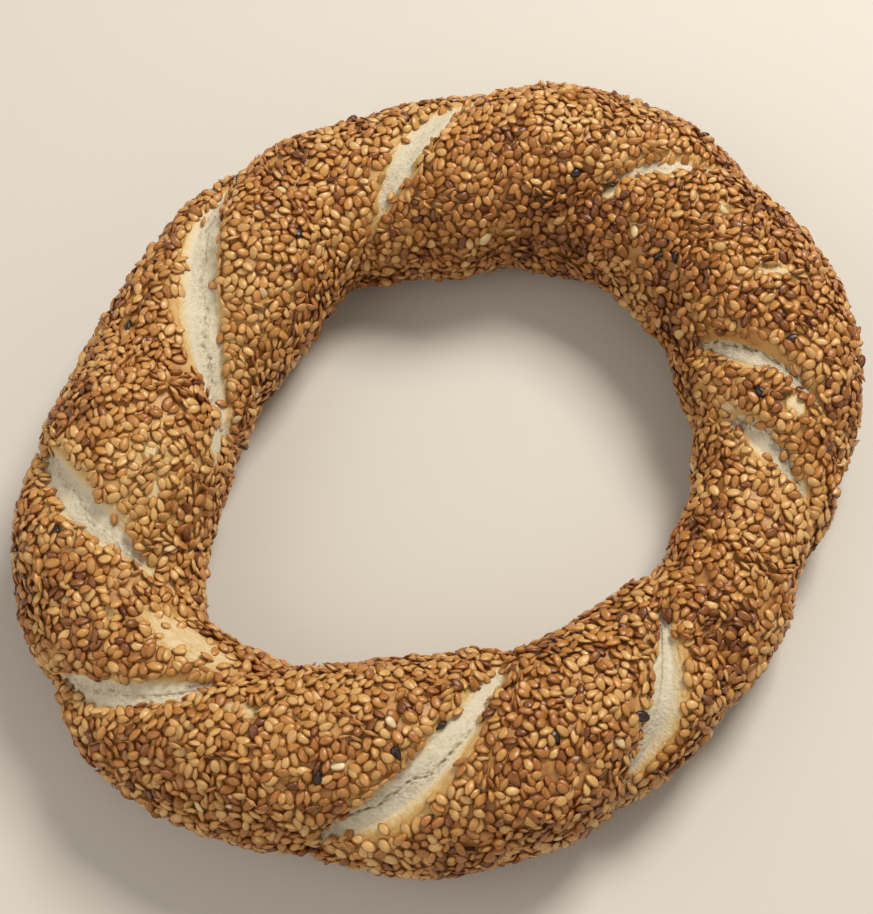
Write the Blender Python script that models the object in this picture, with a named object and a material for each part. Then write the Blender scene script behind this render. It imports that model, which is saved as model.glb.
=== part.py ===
"""A simit, lying flat: one closed solid of bread.

Two strands of dough are twisted together, bent into a ring and baked on a tray.
The seams between the strands wind round the tube.  Most of them have torn open in
the oven and bare the crumb, and the bread is flat underneath.  Sizes are in metres
and angles in degrees unless a name says otherwise, and +Z is up.

An angle round the ring counts from +X towards +Y.  An angle round the tube is 0 on
the ring's outer side, 90 on top, 180 on its inner side and -90 or 270 underneath.
"""

import math
from collections import namedtuple

import bpy
import numpy as np

MM = 0.001

# ---- the ring and its tube -------------------------------------------------------
RING_RADIUS = 71.5 * MM        # from the middle of the ring to the middle of the tube
TUBE_RADIUS = 19.8 * MM        # half the width of the tube
TUBE_HEIGHT_SHARE = 0.95       # half height of the tube's round part, for each half width
TUBE_LIFT_SHARE = 0.80         # height of the tube's middle, for each half width
BASE_ROUNDING = 1.2 * MM       # how softly the flat underside meets the sides

# The ring was bent by hand, so it is neither a true circle nor of even thickness.
# Each wave is: crests round the ring, height, and the angle of one crest.
Wave = namedtuple("Wave", "crests height angle")
RING_WAVES = (
    Wave(2, 7.0 * MM, 46),
    Wave(3, 1.2 * MM, -17),
    Wave(4, 1.8 * MM, 36),
    Wave(5, 0.8 * MM, -7),
    Wave(6, 0.5 * MM, -9),
    Wave(7, 0.5 * MM, 9),
)
TUBE_WAVES = (
    Wave(1, 1.4 * MM, 148),
    Wave(2, 1.5 * MM, 64),
    Wave(3, 1.5 * MM, 42),
    Wave(4, 0.7 * MM, 9),
    Wave(6, 0.7 * MM, 15),
    Wave(7, 0.5 * MM, -23),
    Wave(8, 0.3 * MM, 6),
)

# Slight unevenness of the crust: waves round the ring, waves round the tube,
# height and phase.
Lump = namedtuple("Lump", "ring_waves tube_waves height phase")
LUMPS = (
    Lump(7, -2, 0.25 * MM, 40),
    Lump(11, 3, 0.25 * MM, 130),
    Lump(17, 1, 0.20 * MM, 250),
    Lump(23, -3, 0.16 * MM, 10),
)

# ---- the seams between the strands, in order round the ring -----------------------
# Over the top of the tube a seam slants evenly round the ring, from its outer
# shoulder to its inner one.  Below the shoulders it winds underneath and comes up
# again as the next seam but one.
OUTER_SHOULDER = 12            # angles round the tube
INNER_SHOULDER = 165
STRANDS = 2
SLANT_REACH = 12               # its slant is taken over this much tube to either side

# outer, inner: the seam's angles round the ring at the two shoulders
# depth:   of the groove
# tear:    None, or what has torn open:
#   start, widest, end: angles round the tube of the torn stretch
#   gape:  half the width of the bared crumb at its widest
#   skin:  width of the smooth slope of crust beside the crumb
#   lip:   width of the steeper slope on the crumb's other side
#   side:  +1 with the smooth slope after the seam, counter-clockwise, or -1 before it
#   tail:  how quickly the tear narrows from its widest towards its end
Seam = namedtuple("Seam", "outer inner depth tear")
Tear = namedtuple("Tear", "start widest end gape skin lip side tail")
SEAMS = (
    Seam(40.0, 69.5, 2.2 * MM, Tear(46, 72, 118, 2.3 * MM, 0.8 * MM, 1.0 * MM, -1, 0.8)),
    Seam(81.6, 112, 0.9 * MM, Tear(23, 58, 160, 4.4 * MM, 0.9 * MM, 1.0 * MM, +1, 1.8)),
    Seam(119.3, 176.5, 1.7 * MM, Tear(27, 70, 194, 3.6 * MM, 2.2 * MM, 2.0 * MM, +1, 0.6)),
    Seam(180.4, 216.2, 1.7 * MM, Tear(22, 52, 150, 3.2 * MM, 2.2 * MM, 1.5 * MM, -1, 1.7)),
    Seam(212.6, 239.2, 2.1 * MM, Tear(6, 46, 118, 3.3 * MM, 1.2 * MM, 1.2 * MM, -1, 0.5)),
    Seam(253.1, 286, 1.9 * MM, Tear(4, 55, 150, 3.4 * MM, 2.2 * MM, 2.2 * MM, +1, 0.8)),
    Seam(295.5, 327, 1.9 * MM, Tear(2, 44, 126, 2.5 * MM, 3.0 * MM, 1.8 * MM, +1, 0.7)),
    Seam(314.9, 333, 1.4 * MM, None),
    Seam(345.3, 368.6, 1.7 * MM, Tear(42, 104, 148, 2.1 * MM, 1.4 * MM, 1.0 * MM, -1, 1.0)),
    Seam(356.5, 384.6, 1.7 * MM, Tear(50, 126, 154, 2.2 * MM, 1.7 * MM, 1.0 * MM, +1, 0.8)),
)
GROOVE_WIDTH = 3.6 * MM        # half width of a seam's groove
STRAND_CROWN = 1.6 * MM        # how much the middle of a strand bulges
CROWN_WIDTH = 44               # degrees round the ring of a strand with the full bulge
CROWN_POWER = 0.8              # 1 for a bulge like half a wave, less for a fuller one
CROWN_DROP = 0.6               # how far its edges lie below the plain tube, of its height
SEAM_SOFTNESS = 0.06           # how softly two strands meet, from 0 for a sharp crease
OPENING_POWER = 0.8            # how a tear widens from its start, as tail is for its end
TORN_DEPTH = 1.7 * MM          # how far the bared crumb lies below the groove's sides
SKIN_ROUNDING = 1.0 * MM       # how softly the smooth slope meets the rest of the crust
SEAM_FADE_START = -25          # the seams fade out below this angle round the tube ...
SEAM_FADE_END = -64            # ... and are gone from here down, where the tray was

# ---- the mesh: columns along the strands, rows round the tube ---------------------
COLUMN_SHARES = (0.0, 0.035, 0.075, 0.115, 0.17, 0.28, 0.42,
                 0.58, 0.72, 0.83, 0.885, 0.925, 0.965)
ROWS = 36

CRUST_COLOUR = (0.36, 0.155, 0.040, 1.0)
CRUST_ROUGHNESS = 0.48


def clear_scene():
    """Remove whatever the file holds."""
    for thing in list(bpy.data.objects):
        bpy.data.objects.remove(thing, do_unlink=True)


def wave_sum(waves, ring_angle):
    """Total height of the waves at angles round the ring."""
    total = np.zeros_like(ring_angle)
    for wave in waves:
        total += wave.height * np.cos(np.radians(wave.crests * (ring_angle - wave.angle)))
    return total


def smooth_step(value, start, end):
    """0 before start, 1 after end, and an even slope between them."""
    share = np.clip((value - start) / (end - start), 0.0, 1.0)
    return share * share * (3.0 - 2.0 * share)


def shoulders(index):
    """Outer and inner shoulder of a seam, counted on round the ring past the last."""
    turns, place = divmod(index, len(SEAMS))
    return SEAMS[place].outer + 360.0 * turns, SEAMS[place].inner + 360.0 * turns


def seam_over(index, tube_angle):
    """A seam's angle round the ring over the top of the tube: an even slant."""
    outer, inner = shoulders(index)
    share = (tube_angle - OUTER_SHOULDER) / (INNER_SHOULDER - OUTER_SHOULDER)
    return outer + (inner - outer) * share


def seam_under(index, tube_angle):
    """A seam's angle underneath, on its way to the shoulder where it comes up again."""
    inner = shoulders(index)[1]
    next_outer = shoulders(index + STRANDS)[0]
    share = smooth_step(tube_angle, INNER_SHOULDER, OUTER_SHOULDER + 360.0)
    return inner + (next_outer - inner) * share


def seam_angle(index, tube_angle):
    """Angle round the ring of a seam, at tube angles from -90 to 270."""
    rising = seam_under(index - STRANDS, tube_angle + 360.0)
    falling = seam_under(index, tube_angle)
    angle = np.where(tube_angle < OUTER_SHOULDER, rising, seam_over(index, tube_angle))
    return np.where(tube_angle > INNER_SHOULDER, falling, angle)


def seam_slant(index, tube_angle):
    """How fast a seam moves round the ring, in radians for each radian of tube."""
    ahead = np.minimum(tube_angle + SLANT_REACH, 270.0)
    behind = np.maximum(tube_angle - SLANT_REACH, -90.0)
    return (seam_angle(index, ahead) - seam_angle(index, behind)) / (ahead - behind)


def seam_fade(tube_angle):
    """1 on top and on the sides of the tube, 0 underneath."""
    rise = np.minimum(tube_angle, 180.0 - tube_angle)
    return smooth_step(rise, SEAM_FADE_END, SEAM_FADE_START)


def gaping(tear, tube_angle):
    """How far a tear gapes: 0 at both ends and 1 where it is widest."""
    opening = (tube_angle - tear.start) / (tear.widest - tear.start)
    closing = (tear.end - tube_angle) / (tear.end - tear.widest)
    share = np.clip(np.minimum(opening, closing), 0.0, 1.0)
    power = np.where(opening < closing, OPENING_POWER, tear.tail)
    return np.sin(0.5 * math.pi * share) ** power


def seam_recess(seam, offset, tube_angle):
    """Depth that a seam takes out of the tube, offset metres to its side.

    A closed seam is a groove.  A torn one has a flat floor of crumb, a lip on one side
    of it and a slope of smooth crust on the other.
    """
    open_share = gaping(seam.tear, tube_angle) if seam.tear else 0.0
    gape = seam.tear.gape * open_share if seam.tear else 0.0
    beyond = np.maximum(np.abs(offset) - gape, 0.0)
    recess = seam.depth * np.exp(-beyond / GROOVE_WIDTH)
    if seam.tear:
        beside = offset * seam.tear.side
        skin_end = gape + seam.tear.skin * open_share ** 2 + SKIN_ROUNDING
        skin_slope = 1.0 - smooth_step(beside, gape, skin_end)
        lip = smooth_step(beside, -gape - seam.tear.lip, -gape)
        recess += TORN_DEPTH * smooth_step(open_share, 0.0, 0.6) * skin_slope * lip
    return recess * seam_fade(tube_angle)


def rest_on_tray(height):
    """Flatten what would be below the tray, with a soft edge."""
    edge = (height + BASE_ROUNDING) ** 2 / (4.0 * BASE_ROUNDING)
    return np.where(height > BASE_ROUNDING, height, np.where(height < -BASE_ROUNDING, 0.0, edge))


def crust_points(strand_place, tube_angle):
    """Points of the crust at one place along the strands, all round the tube.

    The whole part of strand_place is the seam before it, and the rest is the share
    of the way to the next seam.
    """
    index = int(math.floor(strand_place))
    share = strand_place - index
    before, after = seam_angle(index, tube_angle), seam_angle(index + 1, tube_angle)
    ring_angle = before + share * (after - before)
    tube_radius = TUBE_RADIUS + wave_sum(TUBE_WAVES, ring_angle)
    ring_radius = RING_RADIUS + wave_sum(RING_WAVES, ring_angle)
    reach = ring_radius + tube_radius * np.cos(np.radians(tube_angle))

    crown = STRAND_CROWN * np.minimum((after - before) / CROWN_WIDTH, 1.0)
    rounded = math.hypot(math.sin(math.pi * share), SEAM_SOFTNESS) ** CROWN_POWER
    relief = crown * (rounded - CROWN_DROP) * seam_fade(tube_angle)
    for lump in LUMPS:
        angle = lump.ring_waves * ring_angle + lump.tube_waves * tube_angle + lump.phase
        relief += lump.height * np.sin(np.radians(angle))
    for seam_index, seam_place in ((index, before), (index + 1, after)):
        slant = seam_slant(seam_index, tube_angle) * reach / tube_radius
        offset = np.radians(ring_angle - seam_place) * reach / np.sqrt(1.0 + slant ** 2)
        relief -= seam_recess(SEAMS[seam_index % len(SEAMS)], offset, tube_angle)

    radius = tube_radius + relief
    out = ring_radius + radius * np.cos(np.radians(tube_angle))
    up = tube_radius * TUBE_LIFT_SHARE
    up = up + radius * TUBE_HEIGHT_SHARE * np.sin(np.radians(tube_angle))
    around = np.radians(ring_angle)
    return np.stack([out * np.cos(around), out * np.sin(around), rest_on_tray(up)], axis=-1)


def crust_faces(columns, wind):
    """Four-sided faces of the grid.  One turn of the tube winds on by some columns."""
    faces = []
    for column in range(columns):
        for row in range(ROWS):
            shift = wind if row + 1 == ROWS else 0
            above = (row + 1) % ROWS
            here, there = column * ROWS, (column + 1) % columns * ROWS
            here_above = (column + shift) % columns * ROWS
            there_above = (column + 1 + shift) % columns * ROWS
            faces.append((here + row, there + row, there_above + above, here_above + above))
    return faces


def simit_mesh():
    """The closed surface of the ring: a grid that winds with the strands."""
    tube_angle = -90.0 + 360.0 * np.arange(ROWS) / ROWS
    places = [seam + share for seam in range(len(SEAMS)) for share in COLUMN_SHARES]
    points = np.array([crust_points(place, tube_angle) for place in places])
    low, high = points.min(axis=(0, 1)), points.max(axis=(0, 1))
    points -= np.array([(low[0] + high[0]) / 2, (low[1] + high[1]) / 2, low[2]])

    mesh = bpy.data.meshes.new("simit")
    faces = crust_faces(len(places), STRANDS * len(COLUMN_SHARES))
    mesh.from_pydata(points.reshape(-1, 3).tolist(), [], faces)
    mesh.update()
    mesh.shade_smooth()
    return mesh


def crust_material():
    """Baked crust, golden brown with a slight sheen."""
    material = bpy.data.materials.new("baked crust")
    material.use_nodes = True
    shader = material.node_tree.nodes["Principled BSDF"]
    shader.inputs["Base Color"].default_value = CRUST_COLOUR
    shader.inputs["Roughness"].default_value = CRUST_ROUGHNESS
    shader.inputs["Metallic"].default_value = 0.0
    return material


def main():
    clear_scene()
    simit = bpy.data.objects.new("simit", simit_mesh())
    simit.data.materials.append(crust_material())
    bpy.context.scene.collection.objects.link(simit)


main()
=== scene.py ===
"""The looks of a simit: crust, torn seams with crumb in them, and sesame seeds.

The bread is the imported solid's own form, made finer.  An angle round the ring counts
from +X towards +Y.  An angle round the tube is 0 on the ring's outer side, 90 on top,
180 on its inner side and -90 or 270 underneath.  Sizes are in metres and angles in
degrees unless a name says otherwise.
"""

import math
from collections import namedtuple

import bpy
import numpy as np
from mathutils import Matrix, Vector, kdtree, noise


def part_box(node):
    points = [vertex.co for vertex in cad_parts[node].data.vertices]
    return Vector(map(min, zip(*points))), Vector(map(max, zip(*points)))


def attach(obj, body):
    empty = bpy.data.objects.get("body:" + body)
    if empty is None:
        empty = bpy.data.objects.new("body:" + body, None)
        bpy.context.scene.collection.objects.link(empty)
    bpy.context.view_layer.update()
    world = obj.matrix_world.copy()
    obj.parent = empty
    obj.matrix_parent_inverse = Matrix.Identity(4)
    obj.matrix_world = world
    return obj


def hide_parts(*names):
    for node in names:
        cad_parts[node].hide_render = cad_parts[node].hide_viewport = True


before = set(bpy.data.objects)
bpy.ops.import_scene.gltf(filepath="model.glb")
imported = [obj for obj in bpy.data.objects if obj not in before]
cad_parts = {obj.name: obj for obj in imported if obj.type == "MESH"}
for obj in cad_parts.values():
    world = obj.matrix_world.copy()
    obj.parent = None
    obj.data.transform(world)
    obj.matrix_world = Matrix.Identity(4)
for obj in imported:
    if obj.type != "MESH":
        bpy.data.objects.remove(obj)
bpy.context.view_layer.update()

MM = 0.001
PERCENT = 0.01

# ---- the solid's own form: the same sizes as in the part -----------------------------
RING_RADIUS = 71.5 * MM
TUBE_RADIUS = 19.8 * MM
TUBE_HEIGHT_SHARE = 0.95
TUBE_LIFT_SHARE = 0.80
BASE_ROUNDING = 1.2 * MM

Wave = namedtuple("Wave", "crests height angle")
RING_WAVES = (
    Wave(2, 7.0 * MM, 46),
    Wave(3, 1.2 * MM, -17),
    Wave(4, 1.8 * MM, 36),
    Wave(5, 0.8 * MM, -7),
    Wave(6, 0.5 * MM, -9),
    Wave(7, 0.5 * MM, 9),
)
TUBE_WAVES = (
    Wave(1, 1.4 * MM, 148),
    Wave(2, 1.5 * MM, 64),
    Wave(3, 1.5 * MM, 42),
    Wave(4, 0.7 * MM, 9),
    Wave(6, 0.7 * MM, 15),
    Wave(7, 0.5 * MM, -23),
    Wave(8, 0.3 * MM, 6),
)
Lump = namedtuple("Lump", "ring_waves tube_waves height phase")
LUMPS = (
    Lump(7, -2, 0.25 * MM, 40),
    Lump(11, 3, 0.25 * MM, 130),
    Lump(17, 1, 0.20 * MM, 250),
    Lump(23, -3, 0.16 * MM, 10),
)

OUTER_SHOULDER = 12
INNER_SHOULDER = 165
STRANDS = 2
SLANT_REACH = 12

# start, widest, end: angles round the tube of the torn stretch
# gape:  half the width of the bared crumb at its widest
# skin:  width of the smooth slope of crust beside the crumb
# lip:   width of the steeper slope on the crumb's other side
# side:  +1 with the smooth slope after the seam, counter-clockwise, or -1 before it
# tail:  how quickly the tear narrows from its widest towards its end
# bake:  how pale its skin is: 1 for an even change from crumb to crust, less for browner
# pores: how many pores its crumb has, from 0 to 1
# line:  where the largest pores lie across the crumb where it is widest, from -1 at the
#        lip to +1 at the skin
# drift: how far that line moves across for each 10 degrees of tube
Seam = namedtuple("Seam", "outer inner depth shape look")
Tear = namedtuple("Tear", "start widest end gape skin lip side tail")
Look = namedtuple("Look", "bake pores line drift")
SEAMS = (
    Seam(40.0, 69.5, 2.2 * MM, Tear(46, 72, 118, 2.3 * MM, 0.8 * MM, 1.0 * MM, -1, 0.8),
         Look(0.6, 0.6, 0.2, 0.0)),
    Seam(81.6, 112, 0.9 * MM, Tear(23, 58, 160, 4.4 * MM, 0.9 * MM, 1.0 * MM, +1, 1.8),
         Look(1.0, 0.5, 0.1, 0.0)),
    Seam(119.3, 176.5, 1.7 * MM, Tear(27, 70, 194, 3.6 * MM, 2.2 * MM, 2.0 * MM, +1, 0.6),
         Look(1.7, 0.8, 0.0, 0.0)),
    Seam(180.4, 216.2, 1.7 * MM, Tear(22, 52, 150, 3.2 * MM, 2.2 * MM, 1.5 * MM, -1, 1.7),
         Look(1.0, 0.7, 0.4, -0.15)),
    Seam(212.6, 239.2, 2.1 * MM, Tear(6, 46, 118, 3.3 * MM, 1.2 * MM, 1.2 * MM, -1, 0.5),
         Look(0.8, 0.75, 0.2, -0.1)),
    Seam(253.1, 286, 1.9 * MM, Tear(4, 55, 150, 3.4 * MM, 2.2 * MM, 2.2 * MM, +1, 0.8),
         Look(0.9, 1.0, -0.1, 0.29)),
    Seam(295.5, 327, 1.9 * MM, Tear(2, 44, 126, 2.5 * MM, 3.0 * MM, 1.8 * MM, +1, 0.7),
         Look(1.1, 0.4, -0.4, 0.0)),
    Seam(314.9, 333, 1.4 * MM, None, None),
    Seam(345.3, 368.6, 1.7 * MM, Tear(42, 104, 148, 2.1 * MM, 1.4 * MM, 1.0 * MM, -1, 1.0),
         Look(0.9, 1.0, -0.6, 0.0)),
    Seam(356.5, 384.6, 1.7 * MM, Tear(50, 126, 154, 2.2 * MM, 1.7 * MM, 1.0 * MM, +1, 0.8),
         Look(0.15, 1.0, 0.6, 0.0)),
)
CLOSED = Tear(400, 401, 402, 0.0, 0.0, 1.0 * MM, 1, 1.0)      # never reached: stays closed
TEARS = tuple(seam.shape or CLOSED for seam in SEAMS)
SEAM_DEPTHS = np.array([seam.depth for seam in SEAMS])
SKIN_BAKES = np.array([seam.look.bake if seam.look else 1.0 for seam in SEAMS])
GROOVE_WIDTH = 3.6 * MM
STRAND_CROWN = 1.6 * MM
CROWN_WIDTH = 44
CROWN_POWER = 0.8
CROWN_DROP = 0.6
SEAM_SOFTNESS = 0.06
OPENING_POWER = 0.8
TORN_DEPTH = 1.7 * MM
SKIN_ROUNDING = 1.0 * MM
SEAM_FADE_START = -25
SEAM_FADE_END = -64

# The solid's grid, whose box says where the ring's middle is.
SOLID_SHARES = (0.0, 0.035, 0.075, 0.115, 0.17, 0.28, 0.42,
                0.58, 0.72, 0.83, 0.885, 0.925, 0.965)
SOLID_ROWS = 36

# ---- the crust --------------------------------------------------------------------
CRUST_COLUMNS = 44             # along each strand, from seam to seam
CRUST_ROWS = 120               # round the tube
SEED_ROOM = 0.80 * MM          # the crust lies this far inside the solid, under the seeds
SKIN_ROOM = 0.25 * MM          # and this far where a tear has no seeds
Ripple = namedtuple("Ripple", "height size")
RIPPLES = (
    Ripple(0.30 * MM, 7.0 * MM),
    Ripple(0.12 * MM, 2.6 * MM),
)

# ---- the torn seams ---------------------------------------------------------------
GOLDEN_EDGE = 0.78             # how brown the crust is at the edge of a tear, from 0 to 1,
GOLDEN_REACH = 3.5 * MM        # and how far from it until it is as brown as elsewhere
TEAR_GRAIN = 0.265 * MM        # spacing of the crumb's points
TEAR_MARGIN = 0.9 * MM         # how far the torn piece runs on under the crust
TEAR_SINK = 0.40 * MM          # how deep its edge lies under the crust there
TEAR_THICKNESS = 1.3 * MM
TEAR_CLEARANCE = 0.5 * MM      # the crust stays this far below the torn piece
TEAR_RIM = 0.2 * MM            # how wide that edge is before the piece starts to rise
TEAR_OVERRUN = 3.0             # degrees that the torn piece runs on past both ends
MAP_ROW = 0.97                 # share of its row of the flat map that a torn piece takes
PALE_SHARE = 0.75              # of half the crumb's width, from its middle, is palest
BARE_LIP = 0.6                 # share of the lip that has no seeds
SEEDED_ROUNDING = 0.35         # share of the skin's rounding that seeds cover
BARELY_OPEN = 0.02             # a tear that gapes less than this share has seeds on it
PORE_LENGTH = 1.90 * MM        # along the tear
PORE_WIDTH = 1.15 * MM
PORE_DEPTH = 0.38 * MM
SPECK_DEPTH = 0.35             # share of that depth which the small pores have,
CREASE_DEPTH = 0.80            # and the crease along the line of the largest pores
LINE_REACH = 1.0 * MM          # how far from that line the large pores fade away,
SPONGY_REACH = 2.8 * MM        # and the small ones,
CREASE_REACH = 0.38 * MM       # and the crease
FIBRE_HEIGHT = 0.07 * MM
FIBRE_SIZE = 0.55 * MM

# ---- the sesame seeds -------------------------------------------------------------
SEED_LENGTH = 3.35 * MM
SEED_WIDTH = 2.02 * MM
SEED_THICKNESS = 1.05 * MM
SEED_COVER = 1.32              # of the crust, before seeds overlap
SCATTER_COLUMNS = 20           # of the coarse grid that seeds are scattered on, each strand
SCATTER_ROWS = 80
SEED_SINK = 0.18 * MM          # how far a seed's underside is pressed into the crust
SEED_FILL = 0.94               # share of the oval round a seed that its outline fills
SEED_SIDES = 12                # corners of its rim
SEED_REACH = 3.4 * MM          # seeds further apart than this never touch
EDGEWISE_SHARE = 0.13          # of the seeds stand on edge, side by side in small groups
EDGEWISE_GROUP = 5.5 * MM      # size of those groups
EDGEWISE_ROLL = 72.0           # degrees that they are rolled over
EDGEWISE_WIDTH = 0.62 * SEED_THICKNESS     # half the width that one of them takes up
PACKING_STEPS = 26
PAIRS_KEPT = 3                 # steps after which the pairs of neighbours are found again
PACKING_PUSH = 0.42            # share of its overlap by which each seed moves in a step
PACKING_TURN = 14.0            # its turn for each millimetre of overlap, in hundredths
LONGEST_MOVE = 0.6 * MM        # of a seed in a step,
LARGEST_TURN = 0.25            # and its turn in one
RAGGED_EDGE = 0.50 * MM        # how unevenly the seeds end beside the tears
STRAY_SHARE = 0.06             # of the seeds that would lie in a tear are left there,
STRAY_REACH = 1.9 * MM         # if they lie no further inside than this
BARE_MISSING = 0.72            # share of the seeds that bare patches lack
SEED_WOBBLE = 0.17             # how much seeds tilt at random,
STEEPEST_TILT = 0.60           # and at most, as a slope
LIFT_SHARE = 0.40              # share of their overlap by which the upper seed is lifted,
HIGHEST_LIFT = 0.62 * MM       # and by how much at most
PALER_SINK = 0.15 * MM         # how much deeper seeds lie where the crust is paler,
BARE_SINK = 0.45 * MM          # and in bare patches
FLOOR_GAP = 0.02 * MM          # under the lowest seeds

# Places where seeds have come off or never stuck: angles of the middle, half its length
# and width, the way its length points (from along the ring towards the inner side), and
# how pale the crust is there, from 0 to 1
Bare = namedtuple("Bare", "ring_angle tube_angle half_length half_width turn pale")
BARE_PATCHES = (
    Bare(222, 123, 10.5 * MM, 5.0 * MM, 25, 0.48),
    Bare(237, 95, 3.6 * MM, 2.0 * MM, 0, 0.45),
    Bare(77, 157, 4.0 * MM, 1.8 * MM, -15, 0.25),
    Bare(4, 83, 2.9 * MM, 1.9 * MM, 60, 0.62),
    Bare(352, 58, 4.0 * MM, 1.5 * MM, 66, 0.55),
    Bare(7, 137, 3.0 * MM, 1.8 * MM, 30, 0.50),
    Bare(58, 121, 2.4 * MM, 1.5 * MM, 60, 0.60),
    Bare(40.5, 85, 2.0 * MM, 1.4 * MM, 0, 0.60),
    Bare(181, 153, 7.0 * MM, 2.6 * MM, 11, 0.92),
    Bare(211.5, 87, 3.0 * MM, 1.6 * MM, 35, 0.45),
    Bare(188, 112, 2.2 * MM, 1.5 * MM, 0, 0.25),
    Bare(195.5, 120, 2.6 * MM, 1.4 * MM, 30, 0.25),
    Bare(26, 77, 6.4 * MM, 1.3 * MM, 69, 0.60),
)
BARE_EDGE = (0.65, 1.25)       # shares of a patch's size where its soft edge starts and ends

# Places made browner (above 0) or paler (below 0) than the rest: partly real differences in
# baking, partly painted shade on the ring's inner walls and painted light on its left side
BakeAndShade = namedtuple("BakeAndShade", "ring_angle tube_angle reach more")
BAKE_AND_SHADE_PLACES = (
    BakeAndShade(192, 112, 14 * MM, -1.0),
    BakeAndShade(147, 140, 9 * MM, -0.8),
    BakeAndShade(8, 148, 6 * MM, -1.0),
    BakeAndShade(246, 108, 9 * MM, -0.5),
    BakeAndShade(60, 78, 8 * MM, -0.6),
    BakeAndShade(73, 165, 14 * MM, 0.8),
    BakeAndShade(60, 135, 9 * MM, 0.7),
    BakeAndShade(350, 135, 7 * MM, 1.0),
    BakeAndShade(320, 85, 10 * MM, 0.9),
    BakeAndShade(281, 76, 8 * MM, 0.7),
    BakeAndShade(124, 86, 8 * MM, 0.7),
    BakeAndShade(31, 148, 12 * MM, 0.9),
    BakeAndShade(207, 72, 6 * MM, 0.5),
    BakeAndShade(321, 48, 8 * MM, 1.0),
    BakeAndShade(18, 112, 7 * MM, 0.8),
)
PALER_BY = 0.30                # how much less brown such a place is, at -1.0,
BROWNER_BY = 0.20              # and how much browner at 1.0

# A tone's share of the seeds and its two colours, between which each seed has its own
Tone = namedtuple("Tone", "name share light dark")
TONES = (
    Tone("seeds_golden", 0.30, (0.650, 0.400, 0.150), (0.530, 0.285, 0.084)),
    Tone("seeds_toasted", 0.30, (0.560, 0.285, 0.082), (0.460, 0.205, 0.048)),
    Tone("seeds_brown", 0.30, (0.450, 0.198, 0.048), (0.330, 0.122, 0.026)),
    Tone("seeds_dark", 0.08, (0.260, 0.092, 0.022), (0.150, 0.046, 0.011)),
    Tone("seeds_pale", 0.004, (0.720, 0.570, 0.330), (0.640, 0.470, 0.240)),
    Tone("seeds_burnt", 0.0006, (0.040, 0.022, 0.014), (0.018, 0.010, 0.007)),
)
PALE, BURNT = 4, 5             # numbers of the two rare tones

# Seeds of the rare tones that have their own places: angles round the ring and the tube
BURNT_PLACES = ((251, 64), (286, 76), (301, 62), (161, 55), (262, 79), (39, 132), (6, 109),
                (204, 32), (197, 60), (66, 115), (271, 91), (59, 119), (15, 83))
PALE_PLACES = ((239, 29), (242, 37), (295, 59), (71, 70), (260, 98))


def wave_sum(waves, ring_angle):
    """Total height of the waves at angles round the ring."""
    total = np.zeros_like(ring_angle)
    for wave in waves:
        total += wave.height * np.cos(np.radians(wave.crests * (ring_angle - wave.angle)))
    return total


def radii_at(ring_angle):
    """Radius of the ring's middle line and of its tube at angles round the ring."""
    return (RING_RADIUS + wave_sum(RING_WAVES, ring_angle),
            TUBE_RADIUS + wave_sum(TUBE_WAVES, ring_angle))


def smooth_step(value, start, end):
    """0 before start, 1 after end, and an even slope between them."""
    share = np.clip((value - start) / (end - start), 0.0, 1.0)
    return share * share * (3.0 - 2.0 * share)


def noise_at(points, size=1.0):
    """Smooth noise with lumps of this size, one number for each point."""
    return np.array([noise.noise(spot) for spot in (points / size).tolist()])


def shoulders(index):
    """Outer and inner shoulder of a seam, counted on round the ring past the last."""
    turns, place = divmod(index, len(SEAMS))
    return SEAMS[place].outer + 360.0 * turns, SEAMS[place].inner + 360.0 * turns


def seam_over(index, tube_angle):
    """A seam's angle round the ring over the top of the tube: an even slant."""
    outer, inner = shoulders(index)
    share = (tube_angle - OUTER_SHOULDER) / (INNER_SHOULDER - OUTER_SHOULDER)
    return outer + (inner - outer) * share


def seam_under(index, tube_angle):
    """A seam's angle underneath, on its way to the shoulder where it comes up again."""
    inner = shoulders(index)[1]
    next_outer = shoulders(index + STRANDS)[0]
    share = smooth_step(tube_angle, INNER_SHOULDER, OUTER_SHOULDER + 360.0)
    return inner + (next_outer - inner) * share


def seam_angle(index, tube_angle):
    """Angle round the ring of a seam, at tube angles from -90 to 270."""
    rising = seam_under(index - STRANDS, tube_angle + 360.0)
    falling = seam_under(index, tube_angle)
    angle = np.where(tube_angle < OUTER_SHOULDER, rising, seam_over(index, tube_angle))
    return np.where(tube_angle > INNER_SHOULDER, falling, angle)


def seam_fade(tube_angle):
    """1 on top and on the sides of the tube, 0 underneath."""
    rise = np.minimum(tube_angle, 180.0 - tube_angle)
    return smooth_step(rise, SEAM_FADE_END, SEAM_FADE_START)


def gaping(tear, tube_angle):
    """How far a tear gapes: 0 at both ends and 1 where it is widest."""
    opening = (tube_angle - tear.start) / (tear.widest - tear.start)
    closing = (tear.end - tube_angle) / (tear.end - tear.widest)
    share = np.clip(np.minimum(opening, closing), 0.0, 1.0)
    power = np.where(opening < closing, OPENING_POWER, tear.tail)
    return np.sin(0.5 * math.pi * share) ** power


def rest_on_tray(height, base):
    """Flatten what would be below the base, with a soft edge."""
    above = height - base
    edge = (above + BASE_ROUNDING) ** 2 / (4.0 * BASE_ROUNDING)
    flat = np.where(above < -BASE_ROUNDING, 0.0, edge)
    return base + np.where(above > BASE_ROUNDING, above, flat)


FIRST_SEAM, LAST_SEAM = -5, 15   # enough seams to enclose any place on the ring

# The strand that many places are on, each value an array: the number of the seam before
# them, that seam's angle round the ring and the next one's, and how both slant there
Strand = namedtuple("Strand", "index before after slant_before slant_after")


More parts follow.
